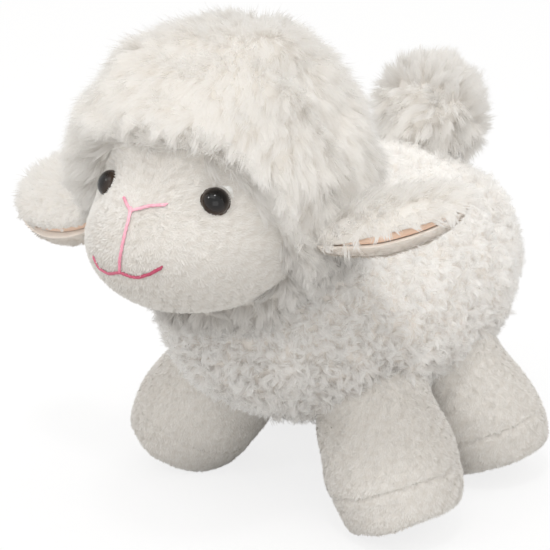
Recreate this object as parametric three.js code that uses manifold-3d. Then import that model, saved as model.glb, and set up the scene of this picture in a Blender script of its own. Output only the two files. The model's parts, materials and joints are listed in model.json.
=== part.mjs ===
// A small stuffed toy lamb that stands on four stubby legs. Its nose points to -Y, its left side is
// +X and its soles stand at Z = 0. The origin is on the floor under the middle of the toy.
// The woolly pieces are drawn at the middle of their pile; the smooth ones at their real surface.
import * as THREE from 'three';
import { mergeVertices } from 'three/addons/utils/BufferGeometryUtils.js';
import Module from 'manifold-3d';

const wasm = await Module();
wasm.setup();

// Sizes in millimetres, angles in degrees
const GAP = 0.3; // clearance between pieces that touch
const SWEEP_ROOM = 0.5; // extra room where a piece turns inside another
const CUT_REACH = 100; // blocks and cones that cut reach this far, past the whole toy

const HIP_SPREAD = 29.5; // hip centre from the middle plane
const HIP_STEP = 21.9; // hip centre in front of or behind the middle of the legs
const LEG_RADIUS = 19; // sleeve of a leg round its hip centre
const LEG_FLARE = 0.17; // how much wider the sleeve is for each millimetre further down
const LEG_LENGTH = 39.7; // hip centre to the middle of the sole
const LEG_SPLAY = 28.8; // lean of a leg away from the middle plane
const LEG_RAKE = 9; // lean of a leg away from the belly's middle, front or back
const SOLE_SPLAY = 22.9; // the sole leans less than its leg
const SOLE_RAKE = 1.9;
const SOLE_ROUND = 34; // width of the soft edge between sleeve and sole
const SOLE_DEPTH = 12; // height of the sole piece
const SOLE_FLAT = 0.5; // how deep the floor flattens a sole
const LEG_FABRIC = 1.6; // short-napped cloth of the legs
const LEG_MOUTH = 10; // radius of a leg's open top
const SWING_OUT = 20; // a leg swings away from the belly's middle
const SWING_IN = 3; // and towards it, until it meets the next leg

const BODY_LENGTH = 158;
const BODY_WIDTH = 99;
const BODY_HEIGHT = 85;
const BODY_PITCH = 2; // the rump hangs a little lower than the chest
const BODY_SHIFT = 3; // body's middle behind the middle of the legs
const BODY_PILE = 5; // backing cloth and half its wool
const HIP_DEPTH = 12; // hip centres above the lowest point of the belly

const SKULL_RADIUS = 38; // stuffed head under its wool
const SKULL_CROWN = 2; // extra height at the top of the head
const HEAD_OVERHANG = 14; // head centre behind the chest's front
const HEAD_RISE = 9; // head centre above the top of the back
const HEAD_TURN = 3.6; // turned to the toy's left
const HEAD_TILT = -2.2; // left side up
const HEAD_PILE = 7; // half the wool of the hood
const HEAD_FABRIC = 2; // cloth of the face and backing of the hood
const NECK_MOUTH = 23; // radius of the hood's open neck
const NECK_PLUG = 11; // radius of the stuffing in the neck
const NECK_PLUG_LENGTH = 20;
const NOD_DOWN = 10;
const NOD_UP = 8;
const TWIST = 12; // head rolls about its neck, each way

const MUZZLE_FORWARD = 18.2; // muzzle's middle in front of the head centre
const MUZZLE_DROP = 12.5; // and below it
const MUZZLE_WIDTH = 61.8;
const MUZZLE_DEPTH = 67.4;
const MUZZLE_HEIGHT = 46.6;
const MUZZLE_BLEND = 10; // width of the soft fold between skull and muzzle

// Where the face seam runs, from the forehead down to the chin: its place round the face, and its
// angle from straight ahead
const FACE_SEAM = [
  [90, 31], [65, 34], [45, 42], [25, 47], [0, 52], [-20, 64], [-40, 74], [-65, 68], [-90, 60],
];

const EYE_DIAMETER = 9;
const EYE_HEIGHT = 3.6;
const EYE_STEM = 1.2; // radius
const EYE_STEM_LENGTH = 8;
const WASHER_RADIUS = 5.5;
const WASHER_THICKNESS = 1.2;
const EYE_OUT = 31.9; // eye's angle to the side of straight ahead
const EYE_UP = 4.9; // and above it

const STITCH = 0.7; // radius of an embroidered line
// Where the embroidery runs: points across and up from the middle of the face
const NOSE_ARM = [[8, 3.6], [3.5, 2.2], [0, 0.6]];
const NOSE_STEM = [[0, 1], [0, -6], [0, -12.4]];
const SMILE = [[-12.5, -13], [-7, -15.6], [0, -15], [7, -15.6], [12.5, -13]];

const EAR_LENGTH = 50;
const EAR_WIDTH = 30;
const EAR_WOOL = 8.5; // thickness above the ear's seam
const EAR_LINING = 5; // and below it
const EAR_INSET = 5; // ear's root inside its hinge line
const EAR_BACK = -4; // hinge behind the head centre
const EAR_DOWN = 10; // and below it
const EAR_SWEEP_LEFT = 8; // ear turned back
const EAR_SWEEP_RIGHT = -2;
const EAR_DROOP_LEFT = -16; // tip down
const EAR_DROOP_RIGHT = 14;
const EAR_ROLL_LEFT = 8; // front edge down
const EAR_ROLL_RIGHT = 42;
const EAR_FLAP = 25; // each way

const TAIL_RADIUS = 17;
const TAIL_SINK = 2; // how far the tail settles on the back
const TAIL_INSET = 35; // tail's seat in front of the end of the rump
const TAIL_PILE = 4;
const TAIL_MOUTH = 2.5; // radius of its gathered opening
const TAIL_WAG = 12;

const { degToRad } = THREE.MathUtils;
const UP = new THREE.Vector3(0, 0, 1);
const DOWN = new THREE.Vector3(0, 0, -1);
const ACROSS = new THREE.Vector3(1, 0, 0);

// Joining and cutting

function solid(geometry, matrix = new THREE.Matrix4()) {
  const bare = geometry.clone();
  bare.deleteAttribute('normal');
  bare.deleteAttribute('uv');
  bare.applyMatrix4(matrix);
  const merged = mergeVertices(bare, 1e-4);
  return new wasm.Manifold(new wasm.Mesh({
    numProp: 3,
    vertProperties: Float32Array.from(merged.attributes.position.array),
    triVerts: Uint32Array.from(merged.index.array),
  }));
}

function bufferGeometry(manifold) {
  const mesh = manifold.getMesh();
  const geometry = new THREE.BufferGeometry();
  geometry.setAttribute('position', new THREE.BufferAttribute(mesh.vertProperties, 3));
  geometry.setIndex(new THREE.BufferAttribute(mesh.triVerts, 1));
  geometry.computeVertexNormals();
  return geometry;
}

const cut = (base, ...tools) => tools.reduce((rest, tool) => rest.subtract(tool), base);
const join = (...solids) => solids.reduce((sum, next) => sum.add(next));

// Placing

const at = (x, y, z) => new THREE.Matrix4().makeTranslation(x, y, z);
const turn = (axis, degrees) => new THREE.Matrix4().makeRotationAxis(axis, degToRad(degrees));
const product = (...matrices) => matrices.reduce((a, b) => a.clone().multiply(b));
const originOf = (matrix) => new THREE.Vector3().setFromMatrixPosition(matrix);
const axisOf = (matrix, x, y, z) => new THREE.Vector3(x, y, z).transformDirection(matrix);

// The turn of something about a line through a point
function turnAbout(point, axis, degrees) {
  const back = point.clone().negate();
  return product(at(...point.toArray()), turn(axis, degrees), at(...back.toArray()));
}

// Angles spread over a range, ends and zero included
function spread(low, high, steps) {
  const below = Array.from({ length: steps }, (_, i) => (low * (steps - i)) / steps);
  const above = Array.from({ length: steps }, (_, i) => (high * (i + 1)) / steps);
  return [...below, 0, ...above];
}

// The larger of two lengths, with the corner between them rounded
function softMax(a, b, blend) {
  const fold = Math.max(blend - Math.abs(a - b), 0) / blend;
  return Math.max(a, b) + (fold * fold * blend) / 4;
}

const softMin = (a, b, blend) => -softMax(-a, -b, blend);

// A closed form round a centre, from the distance to its skin in each direction. Its rings go
// round the Y axis, or round Z where it is asked to stand.
function starForm(reachOf, grow, columns, rings, standing = false) {
  const geometry = new THREE.SphereGeometry(1, columns, rings);
  if (standing) geometry.rotateX(Math.PI / 2);
  const place = geometry.attributes.position;
  const point = new THREE.Vector3();
  for (let i = 0; i < place.count; i += 1) {
    point.fromBufferAttribute(place, i).normalize();
    point.multiplyScalar(reachOf(point) + grow);
    place.setXYZ(i, point.x, point.y, point.z);
  }
  return geometry;
}

// The room that a form fills while it turns about its centre through several poses
function sweptSolid(reachOf, poses, centre, columns, rings) {
  const inverses = poses.map((pose) => pose.clone().setPosition(0, 0, 0).invert());
  const local = new THREE.Vector3();
  const widest = (direction) => Math.max(...inverses.map((inverse) => (
    reachOf(local.copy(direction).applyMatrix4(inverse))
  )));
  return solid(starForm(widest, GAP + SWEEP_ROOM, columns, rings), at(...centre.toArray()));
}

const toy = new THREE.Group();

// A group whose origin and axes are those of a seam that bends
function jointGroup(name, matrix, parent = toy) {
  const group = new THREE.Group();
  group.name = name;
  parent.add(group);
  parent.updateWorldMatrix(true, false);
  group.applyMatrix4(parent.matrixWorld.clone().invert().multiply(matrix));
  return group;
}

function addPiece(group, name, manifold, look) {
  group.updateWorldMatrix(true, false);
  const geometry = bufferGeometry(manifold).applyMatrix4(group.matrixWorld.clone().invert());
  const mesh = new THREE.Mesh(geometry, new THREE.MeshStandardMaterial(look));
  mesh.name = name;
  group.add(mesh);
}

const WOOL = { color: 0xe8e2da, roughness: 0.95, metalness: 0 };
const VELBOA = { color: 0xe6e0d8, roughness: 0.9, metalness: 0 };
const LINING = { color: 0xe2d8cc, roughness: 0.9, metalness: 0 };
const FIBRE = { color: 0xf4f4f2, roughness: 1, metalness: 0 };
const EYE_PLASTIC = { color: 0x0c0908, roughness: 0.08, metalness: 0 };
const WASHER_PLASTIC = { color: 0xf0f0ee, roughness: 0.5, metalness: 0 };
const NOSE_THREAD = { color: 0xf5a8bc, roughness: 0.6, metalness: 0 };
const MOUTH_THREAD = { color: 0xb8405f, roughness: 0.6, metalness: 0 };

// Legs: a sleeve that widens from the hip and is rounded over into a sole

const LEGS = [
  { name: 'front_left', side: 1, end: -1 },
  { name: 'front_right', side: -1, end: -1 },
  { name: 'rear_left', side: 1, end: 1 },
  { name: 'rear_right', side: -1, end: 1 },
];
const LEAST_SLOPE = 0.05; // of a direction towards a face, so that it still meets it

function leaning({ side, end }, splay, rake) {
  const out = degToRad(splay);
  const back = degToRad(rake);
  return new THREE.Vector3(side * Math.sin(out), end * Math.sin(back), -Math.cos(out)).normalize();
}

// Distance from a leg's hip centre to its skin, along a direction
function legReach(leg) {
  const way = leaning(leg, LEG_SPLAY, LEG_RAKE);
  const soleWay = leaning(leg, SOLE_SPLAY, SOLE_RAKE);
  return (direction) => {
    const along = direction.dot(way);
    const across = Math.sqrt(Math.max(1 - along * along, 0));
    const slope = along > 0 ? Math.max(across - LEG_FLARE * along, LEAST_SLOPE) : 1;
    const sole = LEG_LENGTH / Math.max(direction.dot(soleWay), LEAST_SLOPE);
    return softMin(LEG_RADIUS / slope, sole, SOLE_ROUND);
  };
}

function legForm(leg, grow, columns = 16, rings = 12) {
  return starForm(legReach(leg), grow, columns, rings, true);
}

// A leg's hip is as high as the lowest point of its form asks for
function legMatrix(leg) {
  const form = legForm(leg, 0);
  form.computeBoundingBox();
  return at(leg.side * HIP_SPREAD, leg.end * HIP_STEP, -form.boundingBox.min.z - SOLE_FLAT);
}

// Everything on the far side of a plane square to Z
function slabBelow(height) {
  return new THREE.BoxGeometry(2 * CUT_REACH, 2 * CUT_REACH, CUT_REACH)
    .translate(0, 0, height - CUT_REACH / 2);
}

function legSwings({ end }) {
  return end < 0 ? spread(-SWING_OUT, SWING_IN, 4) : spread(-SWING_IN, SWING_OUT, 4);
}

// The room that a leg's root takes in the body at every angle
function legSocket(leg) {
  const matrix = legMatrix(leg);
  const swings = legSwings(leg).map((angle) => product(turn(ACROSS, angle), matrix));
  return sweptSolid(legReach(leg), swings, originOf(matrix), 14, 9);
}

function addLeg(leg) {
  const matrix = legMatrix(leg);
  const group = jointGroup(`${leg.name}_hip`, matrix);
  const floor = solid(slabBelow(0));
  const lining = solid(legForm(leg, -LEG_FABRIC, 10, 6), matrix);
  const shell = cut(solid(legForm(leg, 0), matrix), lining, floor);
  const seam = SOLE_DEPTH - LEG_LENGTH;
  const soleTurn = new THREE.Quaternion()
    .setFromUnitVectors(DOWN, leaning(leg, SOLE_SPLAY, SOLE_RAKE));
  const belowSeam = (height) => solid(slabBelow(height).applyQuaternion(soleTurn), matrix);
  const mouth = new THREE.CylinderGeometry(LEG_MOUTH, LEG_MOUTH, LEG_RADIUS, 10)
    .rotateX(Math.PI / 2).translate(0, 0, LEG_RADIUS);
  const cover = cut(shell, belowSeam(seam + GAP), solid(mouth, matrix));
  addPiece(group, `leg_cover_${leg.name}`, cover, VELBOA);
  addPiece(group, `sole_${leg.name}`, shell.intersect(belowSeam(seam)), VELBOA);
  const stuffing = solid(legForm(leg, -LEG_FABRIC - GAP, 10, 6), matrix);
  addPiece(group, `leg_stuffing_${leg.name}`, stuffing, FIBRE);
}

// Body: an egg of wool cloth that hangs between the hips

const HIP_Z = originOf(legMatrix(LEGS[0])).z;
const BODY_Z = HIP_Z - HIP_DEPTH + BODY_HEIGHT / 2;
const BODY_MATRIX = product(at(0, BODY_SHIFT, BODY_Z), turn(new THREE.Vector3(-1, 0, 0), BODY_PITCH));

function bodyForm(grow, columns = 22, rings = 14) {
  return new THREE.SphereGeometry(1, columns, rings)
    .scale(BODY_WIDTH / 2 + grow, BODY_LENGTH / 2 + grow, BODY_HEIGHT / 2 + grow);
}

// Head: a ball with a broad muzzle, both run together in a soft fold

const HEAD_CENTRE = new THREE.Vector3(
  0,
  BODY_SHIFT - BODY_LENGTH / 2 + HEAD_OVERHANG,
  BODY_Z + BODY_HEIGHT / 2 + HEAD_RISE,
);
const HEAD_MATRIX = product(
  at(...HEAD_CENTRE.toArray()),
  turn(UP, HEAD_TURN),
  turn(new THREE.Vector3(0, 1, 0), HEAD_TILT),
);
const NECK_AXIS = new THREE.Vector3(0, BODY_SHIFT, BODY_Z).sub(HEAD_CENTRE).normalize();
const MUZZLE_MIDDLE = new THREE.Vector3(0, -MUZZLE_FORWARD, -MUZZLE_DROP);
const MUZZLE_HALF = new THREE.Vector3(MUZZLE_WIDTH, MUZZLE_DEPTH, MUZZLE_HEIGHT).divideScalar(2);

// Distance from the head centre to the far side of the muzzle, along a direction
function muzzleReach(direction) {
  const way = direction.clone().divide(MUZZLE_HALF);
  const middle = MUZZLE_MIDDLE.clone().divide(MUZZLE_HALF);
  const along = way.dot(middle);
  const square = along * along - way.lengthSq() * (middle.lengthSq() - 1);
  return square > 0 ? (along + Math.sqrt(square)) / way.lengthSq() : 0;
}

function headReach(direction) {
  const skull = SKULL_RADIUS + SKULL_CROWN * Math.max(0, direction.z) ** 2;
  return softMax(skull, muzzleReach(direction), MUZZLE_BLEND);
}

// Which way the skin of the head faces, where a direction leaves it
function headNormal(direction, step = 0.05) {
  const sideways = new THREE.Vector3().crossVectors(UP, direction).setLength(step);
  const upwards = new THREE.Vector3().crossVectors(direction, sideways).setLength(step);
  const skin = (offset) => {
    const way = direction.clone().add(offset).normalize();
    return way.multiplyScalar(headReach(way));
  };
  const across = skin(sideways).sub(skin(sideways.clone().negate()));
  const along = skin(upwards).sub(skin(upwards.clone().negate()));
  return across.cross(along).normalize();
}

function headForm(grow, columns = 24, rings = 15) {
  return starForm(headReach, grow, columns, rings);
}

const SEAM = new THREE.CatmullRomCurve3(
  FACE_SEAM.map(([around, open]) => new THREE.Vector3(around, open, 0)),
);
const SEAM_POINTS = SEAM.getPoints(40);

function seamOpening(around) {
  const low = SEAM_POINTS.findIndex((point) => point.x <= around);
  if (low <= 0) return SEAM_POINTS[0].y;
  const before = SEAM_POINTS[low - 1];
  const after = SEAM_POINTS[low];
  return THREE.MathUtils.mapLinear(around, before.x, after.x, before.y, after.y);
}

// A cone from the head centre out through the face seam
function faceCone(widen) {
  const geometry = new THREE.ConeGeometry(1, 2, 30);
  const place = geometry.attributes.position;
  for (let i = 0; i < place.count; i += 1) {
    const isApex = place.getY(i) > 0;
    const isMiddle = Math.hypot(place.getX(i), place.getZ(i)) < 0.5;
    if (isApex || isMiddle) {
      place.setXYZ(i, 0, isApex ? 0 : -CUT_REACH, 0);
    } else {
      const around = Math.atan2(place.getZ(i), place.getX(i));
      const sideways = Math.abs(Math.cos(around));
      const upDown = THREE.MathUtils.radToDeg(Math.atan2(Math.sin(around), sideways));
      const open = degToRad(seamOpening(upDown) + widen);
      const out = CUT_REACH * Math.sin(open);
      place.setXYZ(i, out * Math.cos(around), -CUT_REACH * Math.cos(open), out * Math.sin(around));
    }
  }
  return geometry;
}

// The room that the hood takes in the shoulders, through every mix of nod and twist
function headHollow() {
  const nodAxis = axisOf(HEAD_MATRIX, 1, 0, 0);
  const poses = spread(-NOD_UP, NOD_DOWN, 3).flatMap((nod) => (
    spread(-TWIST, TWIST, 3).map((twist) => (
      product(turn(NECK_AXIS, twist), turn(nodAxis, nod), HEAD_MATRIX)
    ))
  ));
  const hoodReach = (direction) => headReach(direction) + HEAD_PILE;
  return sweptSolid(hoodReach, poses, HEAD_CENTRE, 20, 14);
}

// Stuffing that fills the neck, from inside the hood into the body
function neckPlug(grow) {
  const start = SKULL_RADIUS - HEAD_FABRIC;
  const lean = new THREE.Quaternion().setFromUnitVectors(new THREE.Vector3(0, 1, 0), NECK_AXIS);
  return new THREE.CylinderGeometry(NECK_PLUG + grow, NECK_PLUG + grow, NECK_PLUG_LENGTH + grow, 20)
    .translate(0, start + (NECK_PLUG_LENGTH + grow) / 2, 0)
    .applyQuaternion(lean)
    .translate(...HEAD_CENTRE.toArray());
}

function neckHole() {
  const lean = new THREE.Quaternion().setFromUnitVectors(new THREE.Vector3(0, 1, 0), NECK_AXIS);
  return new THREE.CylinderGeometry(NECK_MOUTH, NECK_MOUTH, 2 * SKULL_RADIUS, 16)
    .translate(0, SKULL_RADIUS + NECK_MOUTH / 2, 0)
    .applyQuaternion(lean)
    .translate(...HEAD_CENTRE.toArray());
}

// Ears: a leaf with wool above its seam and smooth cloth below it

const EARS = [
  {
    name: 'left',
    side: 1,
    around: EAR_SWEEP_LEFT,
    roll: EAR_ROLL_LEFT,
    droop: EAR_DROOP_LEFT,
  },
  {
    name: 'right',
    side: -1,
    around: 180 - EAR_SWEEP_RIGHT,
    roll: -EAR_ROLL_RIGHT,
    droop: EAR_DROOP_RIGHT,
  },
];
const EAR_HINGE_OUT = SKULL_RADIUS - HEAD_FABRIC + EAR_INSET + GAP;

function earMatrix(ear, flap = 0) {
  return product(
    HEAD_MATRIX,
    at(ear.side * EAR_HINGE_OUT, EAR_BACK, -EAR_DOWN),
    turn(UP, ear.around),
    turn(ACROSS, ear.roll),
    turn(new THREE.Vector3(0, 1, 0), ear.droop + flap),
  );
}

// Distance from the hinge to the skin of the ear, along a direction
function earReach(direction) {
  const thickness = direction.z > 0 ? EAR_WOOL : EAR_LINING;
  const half = new THREE.Vector3(EAR_LENGTH / 2, EAR_WIDTH / 2, thickness);
  const way = direction.clone().divide(half);
  const middle = new THREE.Vector3(EAR_LENGTH / 2 - EAR_INSET, 0, 0).divide(half);
  const along = way.dot(middle);
  const square = along * along - way.lengthSq() * (middle.lengthSq() - 1);
  return (along + Math.sqrt(square)) / way.lengthSq();
}

function earPocket(ear) {
  const flaps = spread(-EAR_FLAP, EAR_FLAP, 5).map((flap) => earMatrix(ear, flap));
  return sweptSolid(earReach, flaps, originOf(flaps[0]), 16, 10);
}

// A ball drawn out to the ear's length, width and thickness
function earForm() {
  const geometry = new THREE.SphereGeometry(1, 16, 8).rotateZ(-Math.PI / 2);
  const place = geometry.attributes.position;
  for (let i = 0; i < place.count; i += 1) {
    const z = place.getZ(i);
    place.setXYZ(
      i,
      place.getX(i) * (EAR_LENGTH / 2) + EAR_LENGTH / 2 - EAR_INSET,
      place.getY(i) * (EAR_WIDTH / 2),
      z * (z > 0 ? EAR_WOOL : EAR_LINING),
    );
  }
  return geometry;
}

function addEar(ear, head) {
  const matrix = earMatrix(ear);
  const group = jointGroup(`ear_${ear.name}_root`, matrix, head);
  const leaf = solid(earForm(), matrix);
  const below = solid(slabBelow(-GAP / 2), matrix);
  const aboveOrSeam = solid(slabBelow(GAP / 2), matrix);
  addPiece(group, `ear_outer_${ear.name}`, cut(leaf, aboveOrSeam), WOOL);
  addPiece(group, `ear_lining_${ear.name}`, leaf.intersect(below), LINING);
}

// Eyes: a domed button on a stem that goes through the face into a washer

const EYE_SIDES = [{ name: 'left', side: 1 }, { name: 'right', side: -1 }];

function eyeMatrix({ side }) {
  const out = degToRad(EYE_OUT);
  const up = degToRad(EYE_UP);
  const way = new THREE.Vector3(
    side * Math.sin(out) * Math.cos(up),
    -Math.cos(out) * Math.cos(up),
    Math.sin(up),
  );
  const seat = way.clone().multiplyScalar(headReach(way));
  const facing = new THREE.Quaternion().setFromUnitVectors(new THREE.Vector3(0, 1, 0), headNormal(way));
  const local = new THREE.Matrix4().compose(seat, facing, new THREE.Vector3(1, 1, 1));
  return product(HEAD_MATRIX, local);
}

// How far a flat disc stands off the round head at its rim
const standOff = (radius) => radius ** 2 / (2 * SKULL_RADIUS);

const EYE_BACK = GAP - standOff(EYE_DIAMETER / 2);
const DOME_STEPS = 5;

function eyeForm() {
  const radius = EYE_DIAMETER / 2;
  const dome = Array.from({ length: DOME_STEPS + 1 }, (_, i) => {
    const angle = (Math.PI / 2) * (i / DOME_STEPS);
    return new THREE.Vector2(radius * Math.cos(angle), EYE_BACK + EYE_HEIGHT * Math.sin(angle));
  });
  dome[dome.length - 1].x = 0;
  const stem = [
    new THREE.Vector2(0, EYE_BACK - EYE_STEM_LENGTH),
    new THREE.Vector2(EYE_STEM, EYE_BACK - EYE_STEM_LENGTH),
    new THREE.Vector2(EYE_STEM, EYE_BACK),
  ];
  return new THREE.LatheGeometry([...stem, ...dome], 16);
}

const WASHER_FACE = -HEAD_FABRIC - GAP - standOff(WASHER_RADIUS);

function washerForm() {
  const hole = EYE_STEM + GAP;
  const back = WASHER_FACE - WASHER_THICKNESS;
  const ring = [
    [hole, back], [WASHER_RADIUS, back], [WASHER_RADIUS, WASHER_FACE], [hole, WASHER_FACE], [hole, back],
  ];
  return new THREE.LatheGeometry(ring.map(([x, y]) => new THREE.Vector2(x, y)), 12);
}

function stemHole() {
  return new THREE.CylinderGeometry(EYE_STEM + GAP, EYE_STEM + GAP, 3 * EYE_STEM_LENGTH, 12);
}

// The dent that the back of an eye presses into the face
function eyeDent() {
  const radius = EYE_DIAMETER / 2 + GAP;
  return new THREE.CylinderGeometry(radius, radius, EYE_HEIGHT, 16)
    .translate(0, EYE_BACK - GAP + EYE_HEIGHT / 2, 0);
}

// Room behind the face for a washer and the end of its stem
function washerRoom() {
  const depth = EYE_STEM_LENGTH + GAP;
  return new THREE.CylinderGeometry(WASHER_RADIUS + GAP, WASHER_RADIUS + GAP, depth, 20)
    .translate(0, -depth / 2, 0);
}

// Embroidery: thread laid along curves on the face

function threadCurve(points) {
  const lie = points.map(([across, up]) => {
    const way = new THREE.Vector3(across, 0, up);
    way.y = -Math.sqrt(Math.max(0, (SKULL_RADIUS + MUZZLE_BLEND) ** 2 - way.lengthSq()));
    way.normalize();
    for (let i = 0; i < 12; i += 1) {
      const scale = headReach(way);
      way.set(across / scale, way.y, up / scale);
      way.y = -Math.sqrt(1 - way.x ** 2 - way.z ** 2);
    }
    return way.multiplyScalar(headReach(way) + STITCH + GAP);
  });
  return new THREE.CatmullRomCurve3(lie);
}

function threadForm(points, steps) {
  const section = new THREE.Shape().absarc(0, 0, STITCH, 0, 2 * Math.PI);
  return new THREE.ExtrudeGeometry(section, {
    steps,
    curveSegments: 3,
    extrudePath: threadCurve(points),
    bevelEnabled: false,
  });
}

// Tail: a ball of wool gathered to a small opening and sewn on the back

const TAIL_Y = BODY_SHIFT + BODY_LENGTH / 2 - TAIL_INSET;

// The highest point of the body over a place on its middle line, and which way its skin faces there
function backAt(y) {
  const half = new THREE.Vector3(BODY_WIDTH, BODY_LENGTH, BODY_HEIGHT).divideScalar(2);
  const along = (y - BODY_SHIFT) / half.y;
  const point = new THREE.Vector3(0, along * half.y, half.z * Math.sqrt(1 - along ** 2));
  const normal = point.clone().divide(half).divide(half).normalize();
  return { point: point.applyMatrix4(BODY_MATRIX), normal: normal.transformDirection(BODY_MATRIX) };
}

const TAIL_SEAT = backAt(TAIL_Y);

function tailMatrix() {
  const lean = new THREE.Quaternion().setFromUnitVectors(UP, TAIL_SEAT.normal);
  return new THREE.Matrix4().compose(TAIL_SEAT.point, lean, new THREE.Vector3(1, 1, 1));
}

function addTail() {
  const matrix = tailMatrix();
  const group = jointGroup('tail_seam', matrix);
  const rise = TAIL_RADIUS - TAIL_SINK;
  const ball = (radius, columns, rings) => (
    solid(new THREE.SphereGeometry(radius, columns, rings).translate(0, 0, rise), matrix)
  );
  const mouth = new THREE.CylinderGeometry(TAIL_MOUTH, TAIL_MOUTH, rise, 10)
    .rotateX(Math.PI / 2);
  const wagAxis = axisOf(matrix, 0, 1, 0);
  const backs = spread(-TAIL_WAG, TAIL_WAG, 1).map((wag) => (
    solid(bodyForm(GAP), turnAbout(TAIL_SEAT.point, wagAxis, wag).multiply(BODY_MATRIX))
  ));
  const core = ball(TAIL_RADIUS - TAIL_PILE, 10, 7);
  const cover = cut(ball(TAIL_RADIUS, 14, 10), core, solid(mouth, matrix), ...backs);
  addPiece(group, 'tail_cover', cover, WOOL);
  addPiece(group, 'tail_stuffing', ball(TAIL_RADIUS - TAIL_PILE - GAP, 10, 7), FIBRE);
}

function addBody() {
  const sockets = LEGS.map(legSocket);
  const hollow = headHollow();
  const outer = solid(bodyForm(0), BODY_MATRIX);
  const inner = solid(bodyForm(-BODY_PILE, 12, 8), BODY_MATRIX);
  addPiece(toy, 'body_cover', cut(outer, inner, ...sockets, hollow), WOOL);
  const fill = solid(bodyForm(-BODY_PILE - GAP, 12, 8), BODY_MATRIX);
  const plug = solid(neckPlug(GAP));
  addPiece(toy, 'body_stuffing', cut(fill, ...sockets, hollow, plug), FIBRE);
}

function addHead() {
  const neck = jointGroup('neck', product(at(...HEAD_CENTRE.toArray())));
  addPiece(neck, 'neck_stuffing', solid(neckPlug(0)), FIBRE);
  const head = jointGroup('head', HEAD_MATRIX, neck);
  const inner = solid(headForm(-HEAD_FABRIC, 16, 12), HEAD_MATRIX);
  const hood = cut(
    solid(headForm(HEAD_PILE), HEAD_MATRIX),
    inner,
    solid(faceCone(GAP), HEAD_MATRIX),
    solid(neckHole()),
    ...EARS.map(earPocket),
  );
  addPiece(head, 'head_hood', hood, WOOL);
  const eyeHoles = EYE_SIDES.flatMap((eye) => (
    [stemHole(), eyeDent()].map((hole) => solid(hole, eyeMatrix(eye)))
  ));
  const face = cut(solid(headForm(0), HEAD_MATRIX), inner, ...eyeHoles)
    .intersect(solid(faceCone(0), HEAD_MATRIX));
  addPiece(head, 'face_panel', face, VELBOA);
  const rooms = EYE_SIDES.map((eye) => solid(washerRoom(), eyeMatrix(eye)));
  const stuffing = cut(solid(headForm(-HEAD_FABRIC - GAP, 16, 12), HEAD_MATRIX), ...rooms);
  addPiece(head, 'head_stuffing', stuffing, FIBRE);
  for (const eye of EYE_SIDES) {
    addPiece(head, `eye_${eye.name}`, solid(eyeForm(), eyeMatrix(eye)), EYE_PLASTIC);
    const washer = solid(washerForm(), eyeMatrix(eye));
    addPiece(head, `eye_washer_${eye.name}`, washer, WASHER_PLASTIC);
  }
  const farArm = NOSE_ARM.map(([across, up]) => [-across, up]);
  const strokes = [NOSE_ARM, farArm, NOSE_STEM].map((points) => solid(threadForm(points, 6), HEAD_MATRIX));
  addPiece(head, 'nose_stitching', join(...strokes), NOSE_THREAD);
  addPiece(head, 'mouth_stitching', solid(threadForm(SMILE, 14), HEAD_MATRIX), MOUTH_THREAD);
  for (const ear of EARS) addEar(ear, head);
}

addBody();
addHead();
addTail();
for (const leg of LEGS) addLeg(leg);

// The origin goes to the floor under the middle of the whole toy
toy.updateWorldMatrix(true, true);
const bounds = new THREE.Box3().setFromObject(toy, true);
const middle = bounds.getCenter(new THREE.Vector3());
toy.position.set(-middle.x, -middle.y, -bounds.min.z);

export default toy;
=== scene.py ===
# %% [markdown]
# # A stuffed toy lamb
# The toy is an egg of curly wool cloth on four short legs, with a woolly hood sewn round a smooth
# face. Nearly everything that shows is pile: long locks on the crown, ears and tail, small curls on the
# flanks, and a short nap on the face and legs. So the lesson is mostly about growing pile as a mesh.
# Lengths are in millimetres while a piece is worked out, and in metres once it is a Blender mesh.

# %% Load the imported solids
import json
import math
from dataclasses import dataclass, replace

import bmesh
import bpy
import numpy as np
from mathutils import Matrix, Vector


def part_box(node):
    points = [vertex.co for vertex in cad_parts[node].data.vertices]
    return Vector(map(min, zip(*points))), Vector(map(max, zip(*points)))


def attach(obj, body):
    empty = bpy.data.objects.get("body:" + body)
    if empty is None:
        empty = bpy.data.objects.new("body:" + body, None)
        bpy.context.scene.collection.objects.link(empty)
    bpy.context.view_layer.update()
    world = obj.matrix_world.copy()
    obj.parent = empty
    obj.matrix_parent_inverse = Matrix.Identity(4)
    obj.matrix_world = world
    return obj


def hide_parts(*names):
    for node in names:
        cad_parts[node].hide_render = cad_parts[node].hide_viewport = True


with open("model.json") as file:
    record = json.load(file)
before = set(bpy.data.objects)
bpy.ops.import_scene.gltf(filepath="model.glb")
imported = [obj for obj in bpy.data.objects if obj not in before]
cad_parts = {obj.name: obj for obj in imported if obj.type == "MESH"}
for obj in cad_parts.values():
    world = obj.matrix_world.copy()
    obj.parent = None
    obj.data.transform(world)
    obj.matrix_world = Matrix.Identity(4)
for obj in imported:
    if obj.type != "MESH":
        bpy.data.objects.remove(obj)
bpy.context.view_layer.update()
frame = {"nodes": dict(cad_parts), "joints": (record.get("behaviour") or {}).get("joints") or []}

# %% Small helpers for places and directions
MM = 0.001
X_AXIS, Y_AXIS, Z_AXIS = np.eye(3)
JOINTS = {joint["name"]: joint for joint in frame["joints"]}


def pivot(name):
    """Where a joint turns, in millimetres."""
    return np.array(JOINTS[name]["pos_m"]) / MM


def axis(name):
    return unit(np.array(JOINTS[name]["axis"], float))


def unit(vectors):
    return vectors / np.linalg.norm(vectors, axis=-1, keepdims=True)


def rotation(about, degrees):
    """The matrix of a turn about a line through the origin."""
    x, y, z = unit(np.asarray(about, float))
    cross = np.array([[0, -z, y], [z, 0, -x], [-y, x, 0]])
    angle = math.radians(degrees)
    return np.eye(3) + math.sin(angle) * cross + (1 - math.cos(angle)) * cross @ cross


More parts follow.
